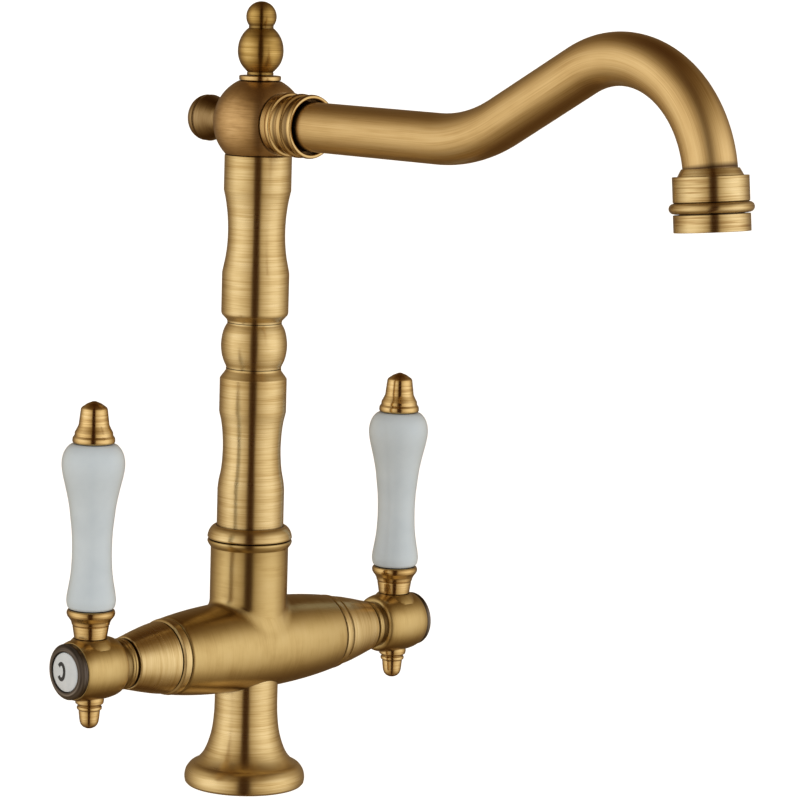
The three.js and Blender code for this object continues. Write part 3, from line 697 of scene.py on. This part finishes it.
def ballHeadPart():
    b = ballHead
    low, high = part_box("ball_head")
    foot, top = (low.z - headHeight) / mm, (high.z - headHeight) / mm
    angles = [math.degrees(math.asin(h / b["r"])) for h in (foot, top)]
    ball = [(0, foot), *arcRun(0, 0, b["r"], *angles, 48), (0, top)]
    tools = [
        bar(b["boreR"], -21, -7),
        bar(b["finialHoleR"], b["holesFrom"], 21),
        setDown(bar(b["recessR"], b["recessFrom"], 22), Vector(), forward),
        setDown(bar(21, b["socketFace"], 22), Vector(), forward),
        setDown(bar(b["knobHoleR"], b["holesFrom"], 22), Vector(), backward),
        setDown(bar(b["knobFaceR"], b["knobFace"], 22), Vector(), backward),
    ]
    return turnedPart("ball_head", "spout_assembly", "antique_brass", satinBrass, headCentre, up, ball,
        tools, 160)


ballHeadPart()
headPart("rear_knob", knobBrass, backward, [*rearKnob["stud"], *rearKnob["collar"],
    *bowed(rearKnob["bun"]), *rearKnob["groove"], *bowed(rearKnob["end"])])
headPart("spout_socket", burnishedBrass, forward, [*spoutSocket["neck"], *spoutSocket["beads"],
    *spoutSocket["lip"]], sides=128)
headPart("finial_disc", burnishedBrass, up, [(2.6, 0), (9.3, 0, 0.5), (9.3, 2.1, 0.6), (2.6, 2.1)])
headPart("head_finial", crownBrass, up, [*finial["stud"], *finial["neck"], *bowed(finial["egg"]),
    *arcRun(0, finial["ballHeight"], finial["ballR"], -36, 89.9, 24),
    (0, finial["ballHeight"] + finial["ballR"])])
print("head made")


spout = {
    "r": 10.9, "wall": 1.2, "sides": 72, "topBendR": 48.4, "lowBendR": 80.0, "rise": 28.2, "tilt": 5.5,
    "levelEnd": 114.4, "slope": 49.7, "tail": 4.8, "inCollar": 8.2, "patinaAndShadeRing": 1.8,  # mm
}
spoutStart = -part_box("spout_tube")[1].y / mm
spoutLegs = [  # length in mm, turn in degrees, rows of faces
    (spout["levelEnd"] - spoutStart, 0, 30),
    (spout["lowBendR"] * math.radians(spout["rise"]), spout["rise"], 20),
    (spout["slope"], 0, 10),
    (spout["topBendR"] * math.radians(90 + spout["rise"] - spout["tilt"]),
        -(90 + spout["rise"] - spout["tilt"]), 56),
    (spout["tail"], 0, 3),
]


def spoutLine():
    # points down the middle of the tube as (reach, height, heading, distance), in mm
    reach, height, heading, gone = spoutStart, headHeight / mm, 0.0, 0.0
    line = [(reach, height, heading, gone)]
    for length, turnBy, rows in spoutLegs:
        for _ in range(rows):
            bend = math.radians(turnBy) / rows
            reach += length / rows * math.cos(heading + bend / 2)
            height += length / rows * math.sin(heading + bend / 2)
            heading += bend
            gone += length / rows
            line.append((reach, height, heading, gone))
    return line


def spoutTube():
    line, sides = spoutLine(), spout["sides"]
    skins = [(spout["r"], line), (spout["r"] - spout["wall"], line[::-1])]
    verts, marks = [], []
    for r, rows in skins:
        for reach, height, heading, gone in rows:
            for i in range(sides):
                angle = 2 * math.pi * i / sides  # 0 is underneath
                side, over = r * math.sin(angle), -r * math.cos(angle)
                verts.append(Vector((side, -(reach - over * math.sin(heading)),
                    height + over * math.cos(heading))) * mm)
                marks.append((gone * mm, 0.0, 2 * math.pi * i / sides * r * mm))
    count = len(verts) // sides
    faces = []
    for k in range(count):
        for i in range(sides):
            j, m = (i + 1) % sides, (k + 1) % count
            faces.append((k * sides + i, m * sides + i, m * sides + j, k * sides + j))
    piece = newPiece("spout_tube_bent", verts, faces)
    # a ring of patina and painted shade in the corner above the outlet's collar
    corner = (line[-1][3] - spout["inCollar"]) * mm
    depths = [max(1 - abs(gone - corner) / (spout["patinaAndShadeRing"] * mm), 0) for gone, _, _ in marks]
    piece.data.attributes.new("recess", "FLOAT", "POINT").data.foreach_set("value", depths)
    grain = piece.data.attributes.new("grain", "FLOAT_VECTOR", "CORNER").data
    across = piece.data.attributes.new("across", "FLOAT_VECTOR", "CORNER").data
    for face in piece.data.polygons:
        for loop in face.loop_indices:
            vertex = piece.data.loops[loop].vertex_index
            along, _, around = marks[vertex]
            # the last face ends a full turn on
            seam = face.index % sides == sides - 1 and vertex % sides == 0
            grain[loop].vector = (along, 0, around + (2 * math.pi * spout["r"] * mm if seam else 0))
            across[loop].vector = Vector((1, 0, 0)).cross(face.normal).cross(face.normal)
    return finishPiece(piece, "spout_assembly", "antique_brass", drawnBrass, "spout_tube", crease=60)


spoutTube()
print("spout made")


aerator = {  # from the start of the collar, down the tube
    "collar": [(11.3, 0), (11.5, 0, 0.1), (12.9, 2.5, 0.3), (13.1, 2.95, 0.1), (15.2, 2.95, 0.3),
        (15.2, 12.9, 0.2), (14.75, 13.15, 0.1)],
    "collarBore": [(14.5, 17.6), (13.2, 17.6), (13.2, 8.6)],
    "shell": [(11.6, 10.5), (12.9, 10.5), (12.9, 17.9), (15.3, 17.9, 0.3), (15.3, 24.9, 0.3),
        (12.7, 24.9, 0.2), (11.6, 24.1)],
    "washer": [(10, 8.9), (12.8, 8.9, 0.2), (12.8, 10.2, 0.2), (10, 10.2)],
    "insert": [(9.4, 11), (11.3, 11, 0.2), (11.3, 22.3, 0.2), (8.6, 22.3)],
    "screen": [(0, 22.6), (11.2, 22.6), (11.2, 23.4), (0, 23.4)],
    "holeR": 1.5, "holeRings": ((4, 3.4), (8, 7.8)),  # how many, and how far out
}


def aeratorParts():
    reach, height, heading, _ = spoutLine()[-1]
    tail = Vector((0, -math.cos(heading), math.sin(heading)))
    start = Vector((0, -reach, height)) * mm - tail * spout["inCollar"] * mm
    bead = arcRun(14.8, 15.4, 2.1, -78, 78, 14)
    collar = [(11.3, 8.6), *aerator["collar"], *bead, *aerator["collarBore"]]
    # two rings of openings, drawn coarser than the real 0.6 mm mesh
    holes = []
    for count, r in aerator["holeRings"]:
        for i in range(count):
            angle = 2 * math.pi * i / count
            place = Vector((r * math.cos(angle), r * math.sin(angle), 0)) * mm
            holes.append(setDown(bar(aerator["holeR"], 22, 24, 20), place, up))
    parts = [
        ("collar", "antique_brass", aeratorBrass, collar, ()),
        ("shell", "antique_brass", aeratorBrass, aerator["shell"], ()),
        ("washer", "seal_rubber", sealRubber, aerator["washer"], ()),
        ("insert", "bearing_plastic", acetal, aerator["insert"], ()),
        ("screen", "stainless_steel", stainless, aerator["screen"], holes),
    ]
    for part, slotName, finish, outline, tools in parts:
        turnedPart("aerator_" + part, "spout_assembly", slotName, finish, start, tail, outline, tools)


aeratorParts()
print("aerator made")


valve = {
    "trimRing": [(10.8, 2.35), (16.8, 2.35, 0.2), (17.2, 2.75, 0.3), (17.1, 4.3), (16.85, 5.6, 0.4),
        (16.3, 6.1, 0.2), (15.9, 6.4), (10.8, 6.4)],
    "sleeve": [(10.8, 0), (15.6, 0), (15.75, 0.35, 0.2)],
    "cone": [(16.15, 0.75), (15.75, 3.5), (15.1, 7.0), (14.3, 10.5), (13.45, 14.0), (12.5, 17.6),
        (11.95, 19.8)],
    "mouth": [(11.8, 20.2, 0.3), (11.4, 20.55, 0.2), (9.8, 20.55), (9.8, 21.35), (8, 21.35), (8, 4),
        (10.8, 4)],
}
hub = {  # from 72.5 mm out along the crossbar
    "setOut": 72.5,
    "collar": [(4.5, 0), (10.9, 0, 0.2), (11.35, 0.5, 0.3), (11.4, 1.3, 0.3), (10.9, 1.7, 0.2),
        (10.9, 2.3, 0.2), (11.1, 2.6, 0.2), (10.6, 3.1, 0.2), (10.3, 3.8), (10.2, 5.6, 0.15)],
    "barrel": [(11.1, 5.6), (11.95, 6.1), (12.65, 7.0), (13.2, 8.5), (13.6, 10.7), (13.88, 13.5),
        (14.0, 17.2), (13.95, 20.6), (13.75, 23.6), (13.4, 26.2), (12.85, 28.2)],
    "pocket": [(12.55, 29.0, 0.3), (9.3, 29.0), (9.3, 27.7), (4.4, 27.7), (4.4, 24.2), (2.2, 24.2),
        (2.2, 8.3), (4.5, 8.3)],
    "seat": [(0, 4), (10.4, 9.6), (9.9, 10.6), (9.1, 11.7), (8.3, 12.7), (7.75, 13.3), (7.5, 13.5, 0.1),
        (0, 13.5)],
    # holes for the rod and the finial, along the lever
    "cuts": ((2.9, 5, 20), (6.7, -20, -12.3), (2.3, -20, -6)),
}
index = {
    "ring": [(8.85, -1.05), (12.1, -1.05, 0.2), (12.3, -0.85, 0.2), (12.3, 1.15, 0.3), (10.6, 2.4, 0.3),
        (9.3, 2.6, 0.3), (8.85, 2.3, 0.2)],
    "disc": [(0, 0), (9, 0), (9, 0.9), (8.6, 0.9), (8.6, 4.35, 0.3), (7.5, 4.65), (4.5, 4.78),
        (0, 4.8)],
    "letterHeight": 8.6, "letterWidth": 5.9, "stroke": 1.75, "offset": 2.3, "letterThick": 0.35,  # mm
    "letterSweep": 142,  # degrees either side of the C's back
}
lever = {
    "ferrule": [(2.9, 2.1), (7.1, 2.1, 0.2), (7.2, 2.7), (7.95, 7.3, 0.2), (7.75, 7.6, 0.1),
        (8.15, 7.95, 0.1)],
    "ferruleLip": [(8.3, 8.2), (8.5, 9.2), (8.95, 10.1), (9.6, 11.0), (10.25, 11.9), (10.55, 12.8),
        (10.55, 13.6), (10.3, 14.3), (9.8, 14.7)],
    "gripFoot": [(3, 0), (9.4, 0, 0.4), (10.3, 0.9, 0.5)],
    "grip": [(10.5, 1.6), (10.8, 3.6), (10.6, 6), (10.1, 9), (9.5, 12.5), (9.05, 16), (8.8, 19.5),
        (8.64, 24), (8.68, 29), (8.9, 33.7), (9.25, 37.2), (9.65, 40.7), (10.1, 44.5), (10.7, 47.9),
        (11.45, 51.4), (12.3, 55), (13.1, 58.4), (13.65, 61.8), (13.72, 64.2), (13.4, 66.6),
        (12.65, 68.8), (11.6, 70.5), (10.4, 71.7), (9.2, 72.3)],
    "cap": [(0, 0), (8.9, 0, 0.3), (9.3, 0.9, 0.3), (9.15, 2.4, 0.3), (8.35, 3.5, 0.3), (8.3, 4.7, 0.3),
        (7.3, 6.6, 0.3), (6.65, 8, 0.3), (5.8, 15, 0.4), (5.3, 15.7), (3.2, 17.2, 0.6),
        (0.8, 18.2, 0.3), (0, 18.3)],
    "finial": [(0, 0), (1.5, 0.2), (2.7, 0.8), (3.6, 1.75), (4.1, 3.0), (4.3, 4.2), (4.7, 7.9, 0.2),
        (4.5, 8.2, 0.1), (5.4, 8.6, 0.3), (5.5, 9.7, 0.3), (5.0, 10.3, 0.1), (5.2, 10.7, 0.1),
        (6.1, 11.2, 0.3), (6.35, 12.5, 0.3), (6.3, 14), (2, 14), (2, 20.2), (0, 20.2)],
}


def flatLetter(name, outline, thick):
    # a flat shape of that outline, in mm
    count = len(outline)
    verts = [Vector((x, y, z)) * mm for z in (0, thick) for x, y in outline]
    faces = [list(range(count))[::-1], list(range(count, 2 * count))]
    faces += [(i, (i + 1) % count, count + (i + 1) % count, count + i) for i in range(count)]
    return newPiece(name, verts, faces)


def letterOutline(side):
    # plain C on the cold side and H on the hot one, as (along, up) about the middle of the disc
    tall, wide, stroke = index["letterHeight"] / 2, index["letterWidth"] / 2, index["stroke"]
    if side > 0:
        a, b, c = wide + 0.5, wide + 0.5 - stroke, stroke / 2
        quarter = [(a, tall), (b, tall), (b, c)]
        left = [(-x, y) for x, y in quarter[::-1]]
        lower = [(-x, -y) for x, y in [*quarter, *left]]
        return [*quarter, *left, *lower]
    angles = [math.radians(index["letterSweep"] * (i / 20 - 1)) for i in range(41)]
    outer = [(wide * math.cos(a), tall * math.sin(a)) for a in angles]
    inner = [((wide - stroke) * math.cos(a), (tall - stroke) * math.sin(a)) for a in angles[::-1]]
    return [*outer, *inner]


def handleParts(name, side):
    out = Vector((side, 0, 0))
    body = name + "_handle"
    centre = Vector((0, 0, crossbarHeight))
    leverFoot = Vector((side * abs(handleAxis.x), 0, 0))

    def across(node, holder, slotName, finish, outline, tools=()):
        # turned about the crossbar's axis
        low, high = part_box(node)
        start = min(abs(low.x), abs(high.x))
        return turnedPart(node, holder, slotName, finish, centre + out * start, out, outline, tools)

    def upright(node, slotName, finish, outline, tools=(), sides=96):
        # turned about the lever's axis
        place = leverFoot + Vector((0, 0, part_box(node)[0].z))
        return turnedPart(node, body, slotName, finish, place, up, outline, tools, sides)

    across(name + "_trim_ring", "mixer_body", "antique_brass", brushedBrass, valve["trimRing"])
    across(name + "_bonnet_sleeve", "mixer_body", "antique_brass", brushedBrass,
        [*valve["sleeve"], *bowed(valve["cone"]), *valve["mouth"]])

    middle = abs(handleAxis.x) / mm - hub["setOut"]  # the lever's axis, from the hub's inner end
    leverSpot = Vector((0, 0, middle * mm))
    leverWay = out.to_track_quat("Z", "Y").to_matrix().inverted() @ up  # in the hub's own axes
    hubPiece = turn(name + "_hub_turned", [*hub["collar"], *bowed(hub["barrel"]), *hub["pocket"]], 128)
    carve(hubPiece, [setDown(turn("seat", hub["seat"], 128), leverSpot, leverWay)], "UNION")
    carve(hubPiece, [setDown(bar(*cut), leverSpot, leverWay) for cut in hub["cuts"]])
    brushAround(hubPiece)
    hubPiece.matrix_world = facing(centre + out * hub["setOut"] * mm, out)
    finishPiece(hubPiece, body, "antique_brass", castBrass, name + "_hub")
    across(name + "_index_ring", body, "blackened_brass", blackenedBrass, index["ring"])
    across(name + "_index_disc", body, "white_enamel", enamel, index["disc"])
    letter = flatLetter(name + "_index_letter", letterOutline(side), index["letterThick"])
    discFoot = min(abs(corner.x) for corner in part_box(name + "_index_disc"))
    letterFoot = discFoot + (index["disc"][-1][1] - index["letterThick"]) * mm
    shift = index["offset"] * mm if side < 0 else 0
    letterAxes = Matrix((Vector((0, side, 0)), up, out)).transposed().to_4x4()
    letter.matrix_world = Matrix.Translation(centre + out * letterFoot + backward * shift) @ letterAxes
    finishPiece(letter, body, "white_enamel", blackPaint, crease=40)

    upright(name + "_lever_ferrule", "antique_brass", burnishedBrass,
        [*lever["ferrule"], *bowed(lever["ferruleLip"]), (2.9, 14.7)])
    upright(name + "_lever_grip", "porcelain", porcelain,
        [*lever["gripFoot"], *bowed(lever["grip"]), (3, 72.3)], sides=128)
    upright(name + "_lever_cap", "antique_brass", burnishedBrass, lever["cap"], [bar(2.9, -1, 8.4)])
    upright(name + "_bottom_finial", "antique_brass", burnishedBrass, lever["finial"])


for name, side in (("cold", -1), ("hot", 1)):
    handleParts(name, side)
print("handles made")


innerParts = {
    valveBrass: ["swivel_spigot", "riser_tube"], acetal: ["swivel_bush"], alumina: [], stainless: [],
    sealRubber: ["swivel_o_ring_lower", "swivel_o_ring_upper", "spout_seal"],
}
for side in ("cold", "hot"):
    innerParts[valveBrass] += [side + "_cartridge", side + "_spindle"]
    innerParts[alumina] += [side + "_fixed_disc", side + "_moving_disc"]
    innerParts[stainless] += [side + "_handle_screw", side + "_lever_rod"]
    innerParts[sealRubber] += [side + "_seat_seal"]
for finish, nodes in innerParts.items():
    for node in nodes:
        part = frame["nodes"][node]
        part.data.materials.clear()
        part.data.materials.append(finish)
print("inner parts finished:", sum(len(nodes) for nodes in innerParts.values()))


studio = {
    # metres, degrees
    "cameraPlace": (-1.07744, -1.21613, 0.39672), "cameraAim": (0.0, -0.09514, 0.18671),
    "cameraRoll": 1.612,
    "focalLength": 164.546, "sensor": 36.0,  # mm
    "floorR": 5.0, "domeR": 8.0, "floorGlow": 0.9, "floorColor": "#F2F2F2",
    "boxes": [(0.0, 0.0), (0.064, 0.0), (0.08, 0.4), (0.115, 0.55), (0.22, 0.82), (0.33, 1.0),
        (0.46, 1.0), (0.56, 0.72), (0.67, 0.44), (0.78, 0.26), (0.9, 0.18), (1.0, 0.16)],
    "heights": [(0.0, 0.16), (0.17, 0.22), (0.24, 0.38), (0.32, 0.68), (0.43, 0.92), (0.53, 1.0),
        (0.6, 0.97), (0.68, 0.7), (0.76, 0.33), (0.84, 0.12), (1.0, 0.05)],
    "boxGain": 1.2, "leftShare": 0.97, "fill": "#8A4A10", "fillGain": 0.14,
    "dimGreen": 1.14, "dimBlue": 1.45,  # dimmer light is warmer
    "softGain": 14.0, "softColor": "#E6F2FF", "softSize": 1.6, "softPlace": (-1.3, -1.9, 1.1),
    "softAim": (0, 0, 0.18),
}


def softStage():
    # a pale floor that sweeps up into a dome; only the camera sees it, so the metal shows the light boxes
    r, high = studio["floorR"], studio["domeR"]
    outline = [(0, 0), (r / 2, 0), (r, 0)]
    for i in range(1, 13):
        angle = math.pi / 2 * i / 12
        outline.append((r + (high - r) * math.sin(angle), high * (1 - math.cos(angle))))
    outline.append((0, 1.4 * high))
    stage = turn("softStage", [(reach / mm, rise / mm) for reach, rise in outline], 64)
    for ray in ("visible_diffuse", "visible_glossy", "visible_transmission", "visible_shadow"):
        setattr(stage, ray, False)
    glow = {"Emission Color": "#FFFFFF", "Emission Strength": studio["floorGlow"]}
    material = newFinish("paleFloor", {"Base Color": studio["floorColor"], "Roughness": 0.9, **glow})[0]
    stage.data.materials.append(material)
    stage.data.shade_smooth()
    stage.location.z = cadBox[0].z - 0.0002  # a hair under the foot


def lightBoxes():
    # two tall light boxes either side of the camera, a dark gap between them and low light around
    world = bpy.data.worlds.new("studioLight")
    bpy.context.scene.world = world
    world.use_nodes = True
    tree = world.node_tree
    tree.nodes.clear()
    place = Vector(studio["cameraPlace"])
    front = Vector((place.x, place.y, 0)).normalized()
    right = Vector((-front.y, front.x, 0))
    way = addNode(tree, "TexCoord").outputs["Generated"]
    ahead, beside = [
        addNode(tree, "VectorMath", {"operation": "DOT_PRODUCT"}, {0: way, 1: axis}).outputs["Value"]
        for axis in (front, right)
    ]
    turnSize = mathOn(tree, "ABSOLUTE", mathOn(tree, "ARCTAN2", beside, ahead))
    boxes = colors(tree, mathOn(tree, "DIVIDE", turnSize, math.pi), *studio["boxes"])
    tilt = mathOn(tree, "ARCSINE", addNode(tree, "SeparateXYZ", {}, {0: way}).outputs["Z"])
    heights = colors(tree, mapped(tree, tilt, -math.pi / 2, math.pi / 2), *studio["heights"])
    sides = mapped(tree, beside, -0.2, 0.2, studio["leftShare"])
    glow = mathOn(tree, "MULTIPLY", mathOn(tree, "MULTIPLY", boxes, heights), sides)
    green = mathOn(tree, "POWER", glow, studio["dimGreen"])
    blue = mathOn(tree, "POWER", glow, studio["dimBlue"])
    color = addNode(tree, "CombineColor", {}, {"Red": glow, "Green": green, "Blue": blue}).outputs[0]
    boxLight = addNode(tree, "Background", {}, {"Color": color, "Strength": studio["boxGain"]})
    fillLight = {"Color": hexColor(studio["fill"]), "Strength": studio["fillGain"]}
    fill = addNode(tree, "Background", {}, fillLight)
    both = addNode(tree, "AddShader", {}, {0: boxLight.outputs[0], 1: fill.outputs[0]})
    addNode(tree, "OutputWorld", {}, {"Surface": both.outputs[0]})


def softLight():
    # a big soft light for the porcelain, which the metal doesn't mirror
    data = bpy.data.lights.new("softLight", "AREA")
    data.shape, data.size, data.energy = "DISK", studio["softSize"], studio["softGain"]
    data.color = hexColor(studio["softColor"])[:3]
    lamp = bpy.data.objects.new("softLight", data)
    bpy.context.scene.collection.objects.link(lamp)
    place = Vector(studio["softPlace"])
    turned = (Vector(studio["softAim"]) - place).to_track_quat("-Z", "Y").to_matrix().to_4x4()
    lamp.matrix_world = Matrix.Translation(place) @ turned
    lamp.visible_glossy = False
    lamp.visible_camera = False


def camera():
    data = bpy.data.cameras.new("camera")
    data.lens, data.sensor_width = studio["focalLength"], studio["sensor"]
    data.clip_start, data.clip_end = 0.05, 60
    eye = bpy.data.objects.new("camera", data)
    bpy.context.scene.collection.objects.link(eye)
    place, aim = Vector(studio["cameraPlace"]), Vector(studio["cameraAim"])
    look = (aim - place).to_track_quat("-Z", "Y").to_matrix().to_4x4()
    roll = Matrix.Rotation(math.radians(studio["cameraRoll"]), 4, "Z")
    eye.matrix_world = Matrix.Translation(place) @ look @ roll
    bpy.context.scene.camera = eye


softStage()
lightBoxes()
softLight()
camera()
bpy.context.scene.view_settings.view_transform = "Standard"
print("stage, light and camera set")
